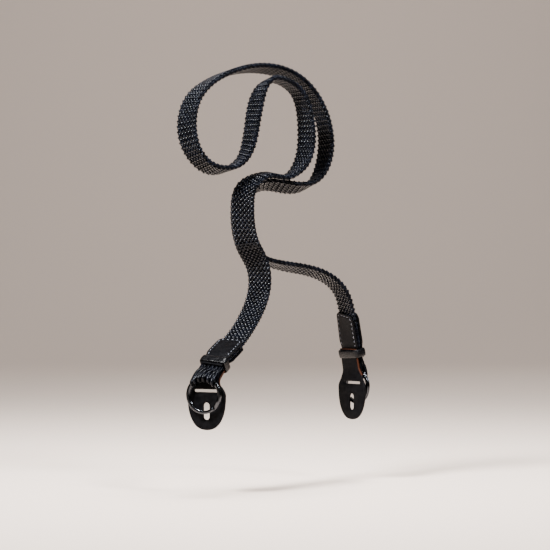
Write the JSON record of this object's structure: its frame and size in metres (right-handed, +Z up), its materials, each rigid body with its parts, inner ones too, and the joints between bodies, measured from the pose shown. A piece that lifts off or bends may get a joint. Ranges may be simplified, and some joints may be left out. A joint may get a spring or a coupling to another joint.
{
  "type": "braided camera strap",
  "caption": "Flat-braided neck strap in its coiled form, with leather tabs, split rings and leather guards at both ends.",
  "frame": {"origin": "lowest point of the left split ring, where it hangs on the carried body's lug", "axes": "+Z up, +X from the left end towards the right end as seen from the front, +Y away from the viewer"},
  "size_m": [0.1087, 0.1047, 0.2022],
  "materials": {
    "braid": "black synthetic flat braid with a faint sheen",
    "leather": "black semi-gloss leather",
    "ring": "dark polished nickel"
  },
  "bodies": {
    "root": {"braided_strap": "braid", "left_outer_leather": "leather", "left_inner_leather": "leather", "left_keeper": "leather", "left_neck": "braid", "left_split_ring": "ring", "left_guard": "leather", "right_outer_leather": "leather", "right_inner_leather": "leather", "right_keeper": "leather", "right_neck": "braid", "right_split_ring": "ring", "right_guard": "leather"}
  },
  "joints": []
}
